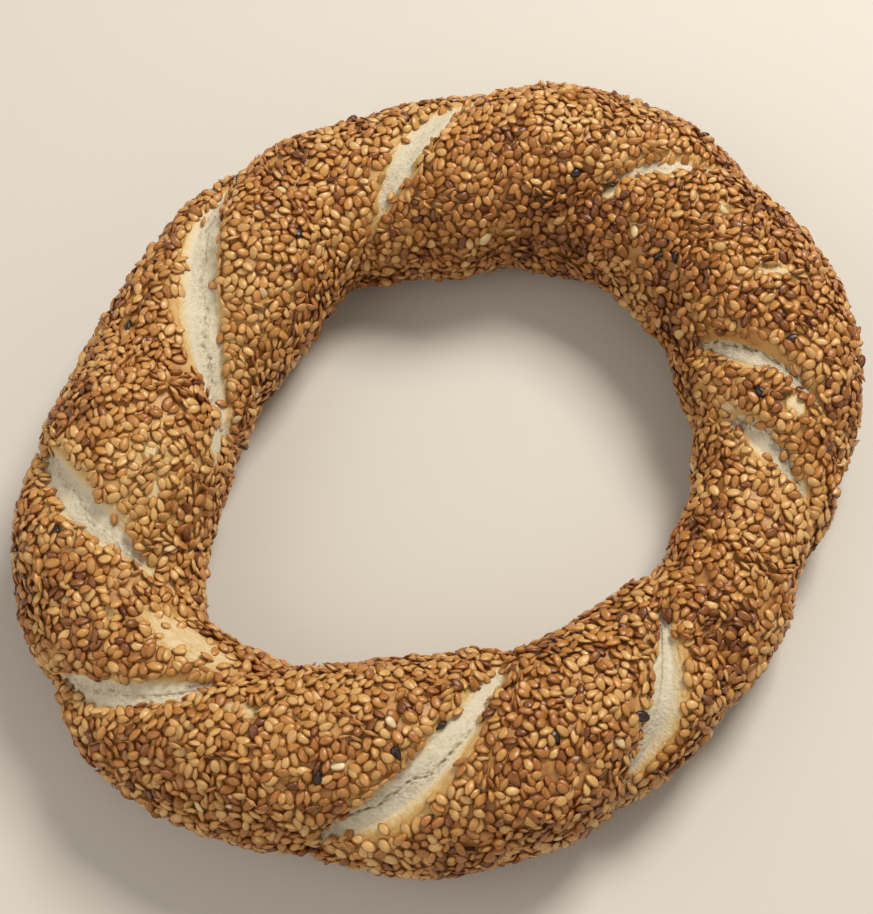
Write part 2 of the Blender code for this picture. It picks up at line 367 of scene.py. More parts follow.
def strand_at(ring_angle, tube_angle):
    """The strand that each place is on."""
    numbers = range(FIRST_SEAM, LAST_SEAM)
    ahead = np.minimum(tube_angle + SLANT_REACH, 270.0)
    behind = np.maximum(tube_angle - SLANT_REACH, -90.0)
    places = np.array([seam_angle(number, tube_angle) for number in numbers])
    moved = np.array([seam_angle(n, ahead) - seam_angle(n, behind) for n in numbers])
    slants = moved / (ahead - behind)
    row = (places <= ring_angle).sum(axis=0) - 1
    each = np.arange(len(ring_angle))
    return Strand(row + FIRST_SEAM, places[row, each], places[row + 1, each],
                  slants[row, each], slants[row + 1, each])


# What a seam does at many places: its recess, how brown the surface is (0 crumb, 1
# crust), and how far inside the seedless part of its tear a place lies
Torn = namedtuple("Torn", "recess brown inside")


def torn_by(index, offset, tube_angle):
    """What the seams with these numbers do at places offset metres to their side."""
    place = index % len(SEAMS)
    tear = Tear(*np.array(TEARS).T[:, place])
    open_share = gaping(tear, tube_angle)
    gape = tear.gape * open_share
    skin_end = gape + tear.skin * open_share ** 2 + SKIN_ROUNDING
    beside = offset * tear.side
    beyond = np.maximum(np.abs(offset) - gape, 0.0)
    skin_slope = 1.0 - smooth_step(beside, gape, skin_end)
    lip_slope = smooth_step(beside, -gape - tear.lip, -gape)
    torn = smooth_step(open_share, 0.0, 0.6)
    recess = (SEAM_DEPTHS[place] * np.exp(-beyond / GROOVE_WIDTH)
              + TORN_DEPTH * torn * skin_slope * lip_slope)

    toward_skin = (beside - PALE_SHARE * gape) / (skin_end - PALE_SHARE * gape)
    toward_lip = (-PALE_SHARE * gape - beside) / (tear.lip + (1.0 - PALE_SHARE) * gape)
    toward_skin = np.clip(toward_skin, 0.0, 1.0) ** SKIN_BAKES[place]
    brown = np.clip(np.maximum(toward_skin, toward_lip), 0.0, 1.0)
    outside = np.maximum(beside - skin_end, -gape - tear.lip - beside)
    golden = smooth_step(outside, 0.0, GOLDEN_REACH)
    brown = np.minimum(brown, GOLDEN_EDGE + (1.0 - GOLDEN_EDGE) * golden)
    brown = 1.0 - (1.0 - brown) * smooth_step(open_share, 0.0, 0.4)
    inside = np.minimum(beside + gape + BARE_LIP * tear.lip,
                        skin_end - SEEDED_ROUNDING * SKIN_ROUNDING - beside)
    inside = np.where(open_share > BARELY_OPEN, inside, -1.0)
    return Torn(recess * seam_fade(tube_angle), brown, inside)


def ripple_at(points):
    """Small unevenness of the crust at these points."""
    total = np.zeros(len(points))
    for ripple in RIPPLES:
        total += ripple.height * noise_at(points, ripple.size)
    return total


# Many places, as their angles.  Whatever else has both angles counts as places too.
Places = namedtuple("Places", "ring_angle tube_angle")
# The crust at many places: its points, and what torn_by says of both seams together
Crust = namedtuple("Crust", "points brown inside")


def crust_at(places, room=SEED_ROOM, sink=0.0, rippled=True):
    """The crust at these places, room metres inside the solid, and sink metres deeper.

    Room is the depth under seeds.  It is less where a tear bares the bread.
    """
    ring_angle, tube_angle = places.ring_angle, places.tube_angle
    strand = strand_at(ring_angle, tube_angle)
    ring_radius, tube_radius = radii_at(ring_angle)
    cosine, sine = np.cos(np.radians(tube_angle)), np.sin(np.radians(tube_angle))
    reach = ring_radius + tube_radius * cosine

    width = strand.after - strand.before
    share = (ring_angle - strand.before) / width
    crown = STRAND_CROWN * np.minimum(width / CROWN_WIDTH, 1.0)
    bulge = np.hypot(np.sin(math.pi * np.clip(share, 0.0, 1.0)), SEAM_SOFTNESS) ** CROWN_POWER
    relief = crown * (bulge - CROWN_DROP) * seam_fade(tube_angle)
    for lump in LUMPS:
        angle = lump.ring_waves * ring_angle + lump.tube_waves * tube_angle + lump.phase
        relief += lump.height * np.sin(np.radians(angle))
    brown, inside = np.ones_like(relief), np.full_like(relief, -1.0)
    for index, place, slant in ((strand.index, strand.before, strand.slant_before),
                                (strand.index + 1, strand.after, strand.slant_after)):
        along = np.sqrt(1.0 + (slant * reach / tube_radius) ** 2)
        torn = torn_by(index, np.radians(ring_angle - place) * reach / along, tube_angle)
        relief -= torn.recess
        brown = np.minimum(brown, torn.brown)
        inside = np.maximum(inside, torn.inside)

    depth = room
    if room:
        depth = room + (SKIN_ROOM - room) * smooth_step(inside, -0.3 * MM, 1.2 * MM)
    radius = tube_radius + relief - depth - sink
    around = np.radians(ring_angle)

    def placed(radius):
        out = ring_radius + radius * cosine
        up = tube_radius * TUBE_LIFT_SHARE + radius * TUBE_HEIGHT_SHARE * sine
        up = rest_on_tray(up, room)
        return np.stack([out * np.cos(around), out * np.sin(around), up], axis=-1)

    points = placed(radius)
    if rippled:
        points = placed(radius + ripple_at(points) * smooth_step(points[:, 2], room, 6 * MM))
    return Crust(points, brown, inside)


def new_mesh(name, points, faces, flat=None, **values):
    """A smooth-shaded object with this mesh, in the scene.

    Flat has each face corner's place on the unrolled surface, and values have one number
    for each point.
    """
    mesh = bpy.data.meshes.new(name)
    mesh.from_pydata(np.asarray(points).tolist(), [], faces)
    mesh.update()
    mesh.shade_smooth()
    thing = bpy.data.objects.new(name, mesh)
    bpy.context.scene.collection.objects.link(thing)
    if flat is not None:
        layer = mesh.uv_layers.new(name="OFBake")
        layer.uv.foreach_set("vector", np.asarray(flat, np.float32).ravel())
    for value_name, numbers in values.items():
        attribute = mesh.attributes.new(value_name, "FLOAT", "POINT")
        attribute.data.foreach_set("value", np.asarray(numbers, np.float32))
    return thing


# ---- crust ------------------------------------------------------------------------

def face_corners(lines, faces_each):
    """Corners of four-sided faces between lines of points, for each face 4 numbers of
    lines and 4 numbers of points in them."""
    line, point = np.divmod(np.arange(lines * faces_each), faces_each)
    return (np.stack([line, line, line + 1, line + 1], axis=1),
            np.stack([point, point + 1, point + 1, point], axis=1))


# A grid over the whole crust: its points' angles, and the corners of its four-sided
# faces, as numbers of points and as places on a flat map
Grid = namedtuple("Grid", "ring_angle tube_angle faces flat")


def crust_grid(steps, whole, rows):
    """A grid that winds with the strands.

    Its columns lie these steps on from each seam, where whole steps reach the next one.
    """
    around = -90.0 + 360.0 * np.arange(rows) / rows
    ring_angle = []
    for index in range(len(SEAMS)):
        before, after = seam_angle(index, around), seam_angle(index + 1, around)
        ring_angle += [before + (after - before) * step / whole for step in steps]
    columns = len(ring_angle)
    corner_columns, corner_rows = (corners[:, (0, 3, 2, 1)]
                                   for corners in face_corners(columns, rows))
    # Once round the tube, a column goes on in the one that lies STRANDS seams further.
    wound = corner_columns + STRANDS * len(steps) * (corner_rows == rows)
    faces = (wound % columns) * rows + corner_rows % rows
    flat = np.stack([corner_columns / columns, corner_rows / rows], axis=-1)
    return Grid(np.mod(np.concatenate(ring_angle), 360.0), np.tile(around, columns), faces, flat)


def ring_middle():
    """Where the middle of the solid's box lies on the ring as crust_at makes it."""
    points = crust_at(crust_grid(SOLID_SHARES, 1.0, SOLID_ROWS), room=0.0, rippled=False).points
    low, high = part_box("simit")
    middle = (points.min(axis=0) + points.max(axis=0)) / 2
    return np.array([middle[0] - (low.x + high.x) / 2, middle[1] - (low.y + high.y) / 2, 0.0])


def short_way(angle):
    """Angles round the ring brought into -180 to 180."""
    return np.mod(angle + 180.0, 360.0) - 180.0


def metres_from(start, places):
    """How far along the ring and over the tube many places lie from one."""
    around = np.radians(short_way(places.ring_angle - start.ring_angle))
    reach = RING_RADIUS + TUBE_RADIUS * math.cos(math.radians(start.tube_angle))
    return around * reach, np.radians(places.tube_angle - start.tube_angle) * TUBE_RADIUS


# How far places lie in a bare patch, 0 to 1, the same times the patch's paleness, and
# millimetres along and across the patch
Bareness = namedtuple("Bareness", "share pale along across")


def bareness(places):
    """Where many places lie in the bare patches."""
    most = np.zeros((4, len(places.ring_angle)))
    for number, patch in enumerate(BARE_PATCHES):
        turned = math.radians(patch.turn)
        along, over = metres_from(patch, places)
        across = over * math.cos(turned) - along * math.sin(turned)
        along = along * math.cos(turned) + over * math.sin(turned)
        far = np.hypot(along / patch.half_length, across / patch.half_width)
        share = 1.0 - smooth_step(far, *BARE_EDGE)
        here = (share, share * patch.pale, along / MM + 50.0 * number, across / MM)
        most = np.where(share > most[0], here, most)
    return Bareness(*most)


def bake_and_shade(places):
    """How much browner than the rest the crust is made at these places, or paler below 0: partly
    real baking, partly painted shade and painted light.
    """
    total = np.zeros_like(places.ring_angle)
    for spot in BAKE_AND_SHADE_PLACES:
        along, over = metres_from(spot, places)
        total += spot.more * np.exp(-(along ** 2 + over ** 2) / spot.reach ** 2)
    return total


def baked_and_shaded(brown, places):
    """How brown a surface is with the listed places made browner or paler: partly real baking,
    partly painted shade and painted light.
    """
    more = bake_and_shade(places)
    more = np.where(more < 0.0, PALER_BY, BROWNER_BY) * more
    return brown + more * smooth_step(brown, 0.3, 0.7)


def make_crust(middle):
    """The browned crust of the whole ring, sunk where the torn pieces lie on it."""
    grid = crust_grid(range(CRUST_COLUMNS), CRUST_COLUMNS, CRUST_ROWS)
    crust = crust_at(grid)
    sink = TEAR_CLEARANCE * smooth_step(crust.inside, 0.1 * MM, 0.8 * MM)
    points = crust_at(grid, sink=sink).points - middle
    bare = bareness(grid)
    brown = baked_and_shaded(crust.brown * (1.0 - bare.pale), grid)
    none = np.zeros(len(points))
    return new_mesh("crust", points, grid.faces.tolist(), grid.flat, brown=brown,
                    along=bare.along, across=bare.across, pore=none, spongy=none)


# ---- torn seams -------------------------------------------------------------------

def cell_noise(along, across, seed):
    """Distance to the nearest of scattered spots, one in each unit cell of a plane."""
    cells = 64                 # each way, before the spots repeat
    table = np.random.default_rng(seed).random((cells, cells, 2))
    cell_along, cell_across = np.floor(along).astype(int), np.floor(across).astype(int)
    nearest = np.full(along.shape, np.inf)
    for step_along in (-1, 0, 1):
        for step_across in (-1, 0, 1):
            i, j = cell_along + step_along, cell_across + step_across
            spot = table[i % cells, j % cells]
            gap = np.hypot(i + spot[..., 0] - along, j + spot[..., 1] - across)
            nearest = np.minimum(nearest, gap)
    return nearest


def tear_line(index):
    """Tube angles along a tear's middle line, and how many metres long it is up to each."""
    tear = TEARS[index]
    tube_angle = np.linspace(tear.start - TEAR_OVERRUN, tear.end + TEAR_OVERRUN, 200)
    places = Places(np.mod(seam_angle(index, tube_angle), 360.0), tube_angle)
    points = crust_at(places, rippled=False).points
    steps = np.linalg.norm(np.diff(points, axis=0), axis=1)
    return tube_angle, np.concatenate([[0.0], np.cumsum(steps)])


# Places over a tear, with a row of them for each step along it: their angles, metres of
# its middle line up to the same height and up to a right angle from it, and metres beside
# that line.  Level has one number for each row.
TearGrid = namedtuple("TearGrid", "ring_angle tube_angle level along beside")


def tear_grid(index):
    """Evenly spaced places over a tear and its margins."""
    tear = TEARS[index]
    line_angle, line_length = tear_line(index)
    level = np.linspace(0.0, line_length[-1], int(line_length[-1] / TEAR_GRAIN) + 1)
    tube_angle = np.interp(level, line_length, line_angle)

    place = seam_angle(index, tube_angle)
    slant = (seam_angle(index, tube_angle + SLANT_REACH)
             - seam_angle(index, tube_angle - SLANT_REACH)) / (2.0 * SLANT_REACH)
    ring_radius, tube_radius = radii_at(place)
    reach = ring_radius + tube_radius * np.cos(np.radians(tube_angle))
    lean = slant * reach / tube_radius
    per_metre = np.sqrt(1.0 + lean ** 2) / reach

    open_share = gaping(tear, tube_angle)
    low = -tear.gape * open_share - tear.lip - TEAR_MARGIN
    high = (tear.gape + tear.skin * open_share) * open_share + SKIN_ROUNDING + TEAR_MARGIN
    full_width = 2.0 * (tear.gape + TEAR_MARGIN) + tear.skin + SKIN_ROUNDING + tear.lip
    share = np.linspace(0.0, 1.0, int(full_width / TEAR_GRAIN) + 1)
    beside = low[:, None] + (high - low)[:, None] * share
    ring_angle = place[:, None] + np.degrees(beside * tear.side * per_metre[:, None])
    along = level[:, None] + beside * tear.side * lean[:, None]
    tube_angle = np.repeat(tube_angle[:, None], len(share), axis=1)
    return TearGrid(ring_angle, tube_angle, level[:, None], along, beside)


def pores_at(index, grid):
    """How deep the pores are and how spongy the crumb is, 0 to 1, over a tear."""
    tear, look = TEARS[index], SEAMS[index].look
    along, beside = grid.along, grid.beside
    seed = 7 * index + 3
    gape = np.maximum(tear.gape * gaping(tear, grid.tube_angle), 0.1 * MM)
    place = look.line + look.drift * (grid.tube_angle - tear.widest) / 10.0
    wobble = 0.18 * np.sin(along / (2.3 * MM) + seed) + 0.10 * np.sin(along / (0.9 * MM))
    off_line = (beside / gape - place - wobble) * gape
    within = look.pores * (1.0 - smooth_step(np.abs(beside) / gape, 0.80, 1.0))
    line, spongy, crease = (np.exp(-(off_line / reach) ** 2) * within
                            for reach in (LINE_REACH, SPONGY_REACH, CREASE_REACH))

    spots = np.stack([along / (2.2 * MM), beside / (1.6 * MM), np.full_like(along, seed)], -1)
    uneven = noise_at(spots.reshape(-1, 3)).reshape(along.shape)
    large = cell_noise(along / PORE_LENGTH, beside / PORE_WIDTH, seed)
    small = cell_noise(along / (0.5 * PORE_LENGTH), beside / (0.55 * PORE_WIDTH), seed + 1)
    holes = (1.0 - smooth_step(large, 0.20, 0.44)) * line
    specks = SPECK_DEPTH * (1.0 - smooth_step(small, 0.14, 0.40)) * spongy
    specks = specks * smooth_step(uneven, -0.25, 0.30)
    crease = CREASE_DEPTH * (crease * look.pores) * smooth_step(uneven, -0.55, 0.10)
    return np.maximum(np.maximum(holes, crease), specks), spongy


def metres_to_edge(grid):
    """How far the places of a tear's grid lie from its nearest edge."""
    share = np.linspace(0.0, 1.0, grid.beside.shape[1])
    side = np.minimum(share, 1.0 - share) * (grid.beside[:, -1:] - grid.beside[:, :1])
    end = np.minimum(grid.level, grid.level.max() - grid.level)
    return np.minimum(side, end).ravel()


def slab_faces(steps, lanes, first_row, row_share, order):
    """Faces of a slab made of loops of points, and their corners' places on a flat map.

    A slab has one loop for each step, and lanes say how far up its row of the map, from 0
    to 1, each point of a loop lies.  Order is -1 to turn every face over, and else 1.
    """
    around = len(lanes)
    corner_steps, corner_turns = face_corners(steps - 1, around)
    faces = (corner_steps * around + corner_turns % around)[:, ::order].tolist()
    up = first_row + row_share * np.append(lanes, 1.0)[corner_turns]
    flat = np.stack([corner_steps / steps, up], axis=-1)[:, ::order].reshape(-1, 2)
    faces.append(list(range(around))[::-order])
    faces.append(list(range((steps - 1) * around, steps * around))[::order])
    caps = [(0.0, first_row)] * around + [(1.0, first_row)] * around
    return faces, np.concatenate([flat, caps])


# One torn seam: its points, faces, flat map, and five values for each point
TornPiece = namedtuple("TornPiece", "points faces flat values")
TORN_VALUES = ("brown", "pore", "spongy", "along", "across")


def make_torn_piece(index, middle, first_row, row_share):
    """One torn seam: a thin slab of bread with crumb and smooth skin on its top.

    Its edge runs under the crust.
    """
    grid = tear_grid(index)
    steps, across = grid.ring_angle.shape
    places = Places(np.mod(grid.ring_angle.ravel(), 360.0), grid.tube_angle.ravel())
    crust = crust_at(places)
    pore, spongy = pores_at(index, grid)
    fibre = noise_at(crust.points, FIBRE_SIZE)
    soft = 1.0 - smooth_step(crust.brown, 0.1, 0.5)
    inward = smooth_step(metres_to_edge(grid), TEAR_RIM, TEAR_RIM + TEAR_MARGIN)
    sink = TEAR_SINK * (1.0 - inward)
    sink += PORE_DEPTH * pore.ravel() + FIBRE_HEIGHT * fibre * soft
    top = crust_at(places, sink=sink).points - middle
    under = crust_at(places, sink=TEAR_SINK + TEAR_THICKNESS).points - middle

    spine = [across - 1, 3 * across // 4, across // 2, across // 4, 0]
    points = np.concatenate([top.reshape(steps, across, 3),
                             under.reshape(steps, across, 3)[:, spine]], axis=1)
    lanes = np.concatenate([np.linspace(0.0, 0.9, across), np.linspace(0.92, 1.0, len(spine))])
    faces, flat = slab_faces(steps, lanes, first_row, row_share, TEARS[index].side)

    values = np.zeros((len(TORN_VALUES), steps, len(lanes)))
    values[0] = 1.0
    brown = baked_and_shaded(crust.brown, places).reshape(steps, across)
    values[:, :, :across] = (brown, pore, spongy, grid.along / MM + 100.0 * index,
                             grid.beside / MM)
    return TornPiece(points.reshape(-1, 3), faces, flat, values.reshape(len(values), -1))


def make_crumb(middle):
    """All torn seams as one piece."""
    torn = [index for index, seam in enumerate(SEAMS) if seam.shape]
    pieces = [make_torn_piece(index, middle, number / len(torn), MAP_ROW / len(torn))
              for number, index in enumerate(torn)]
    faces, count = [], 0
    for piece in pieces:
        faces += [[count + corner for corner in face] for face in piece.faces]
        count += len(piece.points)
    points = np.concatenate([piece.points for piece in pieces])
    flat = np.concatenate([piece.flat for piece in pieces])
    values = np.concatenate([piece.values for piece in pieces], axis=1)
    return new_mesh("crumb", points, faces, flat, **dict(zip(TORN_VALUES, values)))


# ---- seeds ------------------------------------------------------------------------

# Many seeds: where they lie, the crust's normal and their heading there, half their
# length and width, whether each stands on edge, and how far inside the seedless part
# of a tear it lies
Seeds = namedtuple("Seeds", "ring_angle tube_angle points normals heading "
                            "half_length half_width edgewise inside")


def unit(vectors):
    """The vectors with length 1."""
    return vectors / np.maximum(np.linalg.norm(vectors, axis=1), 1e-12)[:, None]


def shortened(vectors, longest):
    """The vectors, with those that are longer cut to this length."""
    length = np.linalg.norm(vectors, axis=1)
    return vectors * np.minimum(1.0, longest / np.maximum(length, 1e-9))[:, None]


def dots(first, second):
    """The dot product of each pair of vectors."""
    return np.einsum("ij,ij->i", first, second)


def along_surface(heading, normals):
    """The headings turned into the surface that has these normals."""
    return unit(heading - normals * dots(heading, normals)[:, None])


def crust_and_normals(places, rippled=False):
    """The crust under these places with its outward normals."""
    step = 0.8                 # degrees
    ring_angle, tube_angle = places.ring_angle, places.tube_angle
    turn = np.where(tube_angle + step < 270.0, 1.0, -1.0)
    here = crust_at(places, rippled=rippled)
    on = crust_at(Places(np.mod(ring_angle + step, 360.0), tube_angle), rippled=rippled)
    up = crust_at(Places(ring_angle, tube_angle + turn * step), rippled=rippled)
    normals = np.cross(on.points - here.points, (up.points - here.points) * turn[:, None])
    return here, unit(normals)


def places_of(points):
    """The places of points near the crust."""
    ring_angle = np.mod(np.degrees(np.arctan2(points[:, 1], points[:, 0])), 360.0)
    ring_radius, tube_radius = radii_at(ring_angle)
    out = np.hypot(points[:, 0], points[:, 1]) - ring_radius
    up = (points[:, 2] - tube_radius * TUBE_LIFT_SHARE) / TUBE_HEIGHT_SHARE
    tube_angle = np.degrees(np.arctan2(up, out))
    under = -np.degrees(np.arccos(np.clip(out / (tube_radius - SEED_ROOM), -1.0, 1.0)))
    flat = points[:, 2] < SEED_ROOM + 0.4 * MM
    tube_angle = np.mod(np.where(flat, under, tube_angle) + 90.0, 360.0) - 90.0
    return Places(ring_angle, tube_angle)


def scattered(rng):
    """Places spread evenly over the whole crust, one for each seed."""
    grid = crust_grid(range(SCATTER_COLUMNS), SCATTER_COLUMNS, SCATTER_ROWS)
    corners = crust_at(grid, rippled=False).points[grid.faces]
    diagonals = np.cross(corners[:, 2] - corners[:, 0], corners[:, 3] - corners[:, 1])
    area = np.linalg.norm(diagonals, axis=1) / 2
    one_seed = math.pi / 4 * SEED_LENGTH * SEED_WIDTH * SEED_FILL
    count = int(area.sum() * SEED_COVER / one_seed)
    chosen = rng.choice(len(area), count, p=area / area.sum())
    u, v = rng.random((2, count, 1))
    corner = corners[chosen]
    lower = corner[:, 0] * (1 - u) + corner[:, 1] * u
    upper = corner[:, 3] * (1 - u) + corner[:, 2] * u
    return places_of(lower * (1 - v) + upper * v)


def edgewise_groups(points, heading, normals, rng):
    """Which seeds stand on edge, and headings that agree within each of their groups."""
    # The shifts take each number from another part of the noise.
    spots = points / EDGEWISE_GROUP
    height = noise_at(spots + (40.0, 0.0, 0.0))
    edgewise = height > np.quantile(height, 1.0 - EDGEWISE_SHARE)
    swirl = np.stack([noise_at(spots * 0.5 + (shift, 70.0, 0.0))
                      for shift in (9.3, 31.7, 62.1)], axis=1)
    shared = unit(np.cross(normals, swirl + rng.normal(0.0, 0.05, swirl.shape)))
    return edgewise, np.where(edgewise[:, None], shared, heading)


def new_seeds(rng):
    """Seeds scattered over the whole crust."""
    places = scattered(rng)
    count = len(places.ring_angle)
    size = rng.normal(1.0, 0.07, count)
    half_length = SEED_LENGTH / 2 * size * rng.normal(1.0, 0.05, count)
    half_width = SEED_WIDTH / 2 * size * rng.normal(1.0, 0.06, count)
    here, normals = crust_and_normals(places)
    heading = unit(np.cross(normals, rng.normal(size=(count, 3))))
    edgewise, heading = edgewise_groups(here.points, heading, normals, rng)
    return Seeds(*places, here.points, normals, heading,
                 half_length, half_width, edgewise, here.inside)


def moved(seeds, places, heading, rippled=False):
    """The seeds laid on the crust at new places and with new headings."""
    here, normals = crust_and_normals(places, rippled)
    return seeds._replace(ring_angle=places.ring_angle, tube_angle=places.tube_angle,
                          points=here.points, normals=normals, inside=here.inside,
                          heading=along_surface(heading, normals))


def close_pairs(points):
    """Pairs of points so close that seeds on them may touch, as two arrays of numbers."""
    tree = kdtree.KDTree(len(points))
    for number, point in enumerate(points.tolist()):
        tree.insert(point, number)
    tree.balance()
    first, second = [], []
    for number, point in enumerate(points.tolist()):
        for _, other, _ in tree.find_range(point, SEED_REACH):
            if other > number:
                first.append(number)
                second.append(other)
    return np.array(first), np.array(second)


def reach_toward(half_length, half_width, cosine):
    """How far a seed reaches in a direction, from that direction's cosine to its length."""
    squared = cosine ** 2
    support = np.sqrt(half_length ** 2 * squared + half_width ** 2 * (1 - squared))
    rim = half_length * half_width / np.sqrt(half_width ** 2 * squared
                                             + half_length ** 2 * (1 - squared))
    return (support + rim) / 2


def overlaps(seeds, first, second):
    """For each pair of seeds: the direction between them, by how much they overlap,
    and the cosines of that direction to both headings."""
    half_width = np.where(seeds.edgewise, EDGEWISE_WIDTH, seeds.half_width)
    apart = seeds.points[second] - seeds.points[first]
    gap = np.maximum(np.linalg.norm(apart, axis=1), 1e-6)
    toward = apart / gap[:, None]
    cosine_first = dots(toward, seeds.heading[first])
    cosine_second = dots(toward, seeds.heading[second])
    touch = (reach_toward(seeds.half_length[first], half_width[first], cosine_first)
             + reach_toward(seeds.half_length[second], half_width[second], cosine_second))
    facing = dots(seeds.normals[first], seeds.normals[second])
    overlap = np.where(facing > 0.2, touch - gap, 0.0)
    return toward, np.maximum(overlap, 0.0), cosine_first, cosine_second


def added_up(count, numbers, vectors):
    """The vectors of each number added up."""
    total = np.zeros((count, 3))
    np.add.at(total, numbers, vectors)
    return total


def pack_seeds(seeds):
    """The seeds pushed apart until they lie side by side."""
    count = len(seeds.points)
    for step in range(PACKING_STEPS):
        if step % PAIRS_KEPT == 0:
            first, second = close_pairs(seeds.points)
        toward, overlap, cosine_first, cosine_second = overlaps(seeds, first, second)
        push = toward * (PACKING_PUSH * overlap)[:, None]
        move = added_up(count, second, push) - added_up(count, first, push)
        # Seeds that overlap end to end turn out of each other's way.
        away = -PACKING_TURN * overlap / MM * PERCENT
        turn_first = (away * np.sign(cosine_first))[:, None] * toward
        turn_second = (away * np.sign(cosine_second))[:, None] * toward
        turn = added_up(count, first, turn_first) + added_up(count, second, turn_second)
        turn[seeds.edgewise] = 0.0
        places = places_of(seeds.points + shortened(move, LONGEST_MOVE))
        turn = np.clip(turn, -LARGEST_TURN, LARGEST_TURN)
        seeds = moved(seeds, places, seeds.heading + turn)
    return moved(seeds, seeds, seeds.heading, rippled=True)


def chosen_seeds(seeds, keep):
    """Only the seeds where keep is true."""
    return Seeds(*(values[keep] for values in seeds))


def seeds_to_keep(seeds, rng):
    """False for seeds that would lie in a tear or a bare patch, but for a few strays."""
    count = len(seeds.points)
    ragged = RAGGED_EDGE * rng.normal(0.0, 1.0, count)
    stray = (rng.random(count) < STRAY_SHARE) & (seeds.inside < STRAY_REACH)
    keep = (seeds.inside + ragged < 0.45 * MM) | stray
    thin = noise_at(seeds.points, 5.5 * MM)
    missing = 0.02 + 0.15 * smooth_step(thin, 0.20, 0.50)
    missing = np.maximum(missing, BARE_MISSING * bareness(seeds).share)
    return keep & (rng.random(count) > missing)


def stacked(seeds, rng):
    """How far the seeds tilt and are lifted where they lie on each other."""
    count = len(seeds.points)
    first, second = close_pairs(seeds.points)
    toward, overlap, _, _ = overlaps(seeds, first, second)
    upper = rng.random(count)
    rise = np.minimum(overlap / (0.55 * MM), 0.6)[:, None] * toward
    over = upper[first] > upper[second]
    tilt = added_up(count, first, np.where(over[:, None], rise, 0.0))
    tilt -= added_up(count, second, np.where(over[:, None], 0.0, rise))
    lift = np.zeros(count)
    np.add.at(lift, np.where(over, first, second), LIFT_SHARE * overlap)
    return tilt, np.minimum(lift, HIGHEST_LIFT)


def seed_frames(seeds, tilt, roll):
    """Each seed's three directions: its length, its width and its upper side."""
    normals = unit(seeds.normals - tilt)
    length = along_surface(seeds.heading, normals)
    width = np.cross(normals, length)
    cosine, sine = np.cos(roll)[:, None], np.sin(roll)[:, None]
    return length, width * cosine + normals * sine, normals * cosine - width * sine


def lay_seeds(seeds, rng):
    """Centres and directions of the seeds, tilted and lifted onto each other."""
    count = len(seeds.points)
    tilt, lift = stacked(seeds, rng)
    wobble = unit(np.cross(seeds.normals, rng.normal(size=(count, 3))))
    tilt += wobble * np.abs(rng.normal(0.0, SEED_WOBBLE, count))[:, None]
    # The tray presses the seeds under the ring flat.
    free = smooth_step(seeds.points[:, 2], SEED_ROOM, 3 * MM)
    tilt = shortened(tilt, STEEPEST_TILT) * free[:, None]
    on_edge = np.radians(rng.normal(EDGEWISE_ROLL, 10.0, count)) * rng.choice((-1.0, 1.0), count)
    roll = np.where(seeds.edgewise, on_edge * free, 0.0)
    rest = SEED_THICKNESS / 2 * 0.85 - SEED_SINK
    stand = np.abs(np.sin(roll)) * 0.55 * (seeds.half_width - SEED_THICKNESS / 2)
    height = rest * (0.6 + 0.4 * free) + lift * free + stand
    height += PALER_SINK * np.minimum(bake_and_shade(seeds), 0.0)
    height -= BARE_SINK * bareness(seeds).share
    return seeds.points + seeds.normals * height[:, None], seed_frames(seeds, tilt, roll)


def tone_of(seeds, rng):
    """The number of each seed's tone in TONES.  Browner seeds keep to patches."""
    count = len(seeds.points)
    patches, small = noise_at(seeds.points, 14 * MM), noise_at(seeds.points, 4 * MM)
    by_tear = 1.0 - smooth_step(-seeds.inside, 0.0, 5.0 * MM)
    # The higher its rank, the browner a seed.
    rank = rng.normal(0.0, 1.0, count) + 1.3 * patches + 0.9 * small - 0.7 * by_tear
    # Seeds are made browner or paler at the listed places too: partly real baking, partly
    # painted shade and painted light.
    rank += 1.5 * bake_and_shade(seeds)
    rank -= 2.5 * bareness(seeds).share
    order = np.argsort(np.argsort(rank)) / count
    limits = np.cumsum([look.share for look in TONES[:PALE]])
    tone = np.searchsorted(limits[:-1] / limits[-1], order, side="right")
    rare = rng.random(count)
    tone[rare < TONES[PALE].share] = PALE
    tone[rare > 1.0 - TONES[BURNT].share] = BURNT
    for number, places in ((PALE, PALE_PLACES), (BURNT, BURNT_PLACES)):
        for ring_angle, tube_angle in places:
            around = short_way(seeds.ring_angle - ring_angle)
            tone[np.argmin(np.hypot(around * 4.0, seeds.tube_angle - tube_angle))] = number
    return tone


def seed_shape():
    """A seed's points as shares of its half length, half width and half thickness, its
    faces, and how far each point is towards the rim."""
    angle = 2 * math.pi * np.arange(SEED_SIDES) / SEED_SIDES
    along = np.cos(angle)
    # A teardrop: blunt at one end and drawn to a point at the other.
    width = (1 - along) ** 0.64 * (1 + along) ** 0.50 / 1.008
    rim = np.stack([along, width * np.sign(np.sin(angle)), np.zeros(SEED_SIDES)], axis=1)
    plump = 0.40 + 0.40 * width
    crown = np.stack([along * 0.68 - 0.05, rim[:, 1] * 0.66, plump], axis=1)
    ends = np.array([[-0.14, 0.0, 0.98], [-0.08, 0.0, -0.85]])
    top, bottom = 2 * SEED_SIDES, 2 * SEED_SIDES + 1
    sides = [(side, (side + 1) % SEED_SIDES) for side in range(SEED_SIDES)]
    faces = [(side, after, SEED_SIDES + after, SEED_SIDES + side) for side, after in sides]
    for side, after in sides:
        faces += [(SEED_SIDES + side, SEED_SIDES + after, top), (after, side, bottom)]
    rimness = np.concatenate([np.ones(SEED_SIDES), np.full(SEED_SIDES, 0.45), [0.0, 0.3]])
    return np.concatenate([rim, crown, ends]), faces, rimness


